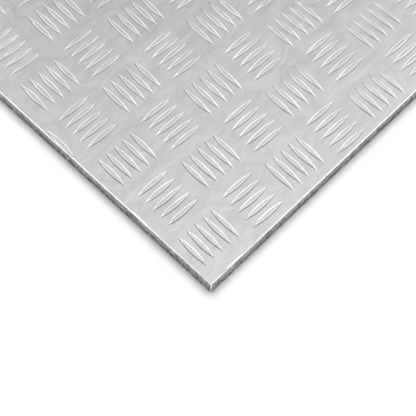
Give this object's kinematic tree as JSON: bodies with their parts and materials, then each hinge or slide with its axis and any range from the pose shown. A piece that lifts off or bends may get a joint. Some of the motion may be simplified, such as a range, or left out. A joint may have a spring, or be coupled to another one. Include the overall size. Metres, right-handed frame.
{
  "type": "aluminium checker plate",
  "caption": "Flat square panel of rolled aluminium checker plate with raised lens-shaped tread bars in groups that alternate by a right angle, for non-slip floors and steps.",
  "frame": {"origin": "centre of the panel on its flat underside", "axes": "+Z out of the tread face, +X and +Y along the panel's sheared edges"},
  "size_m": [0.3, 0.3, 0.0104],
  "materials": {
    "aluminium": "bright mill finish, satin, with grey sheared edges"
  },
  "bodies": {
    "root": {"checker_plate": "aluminium"}
  },
  "joints": []
}
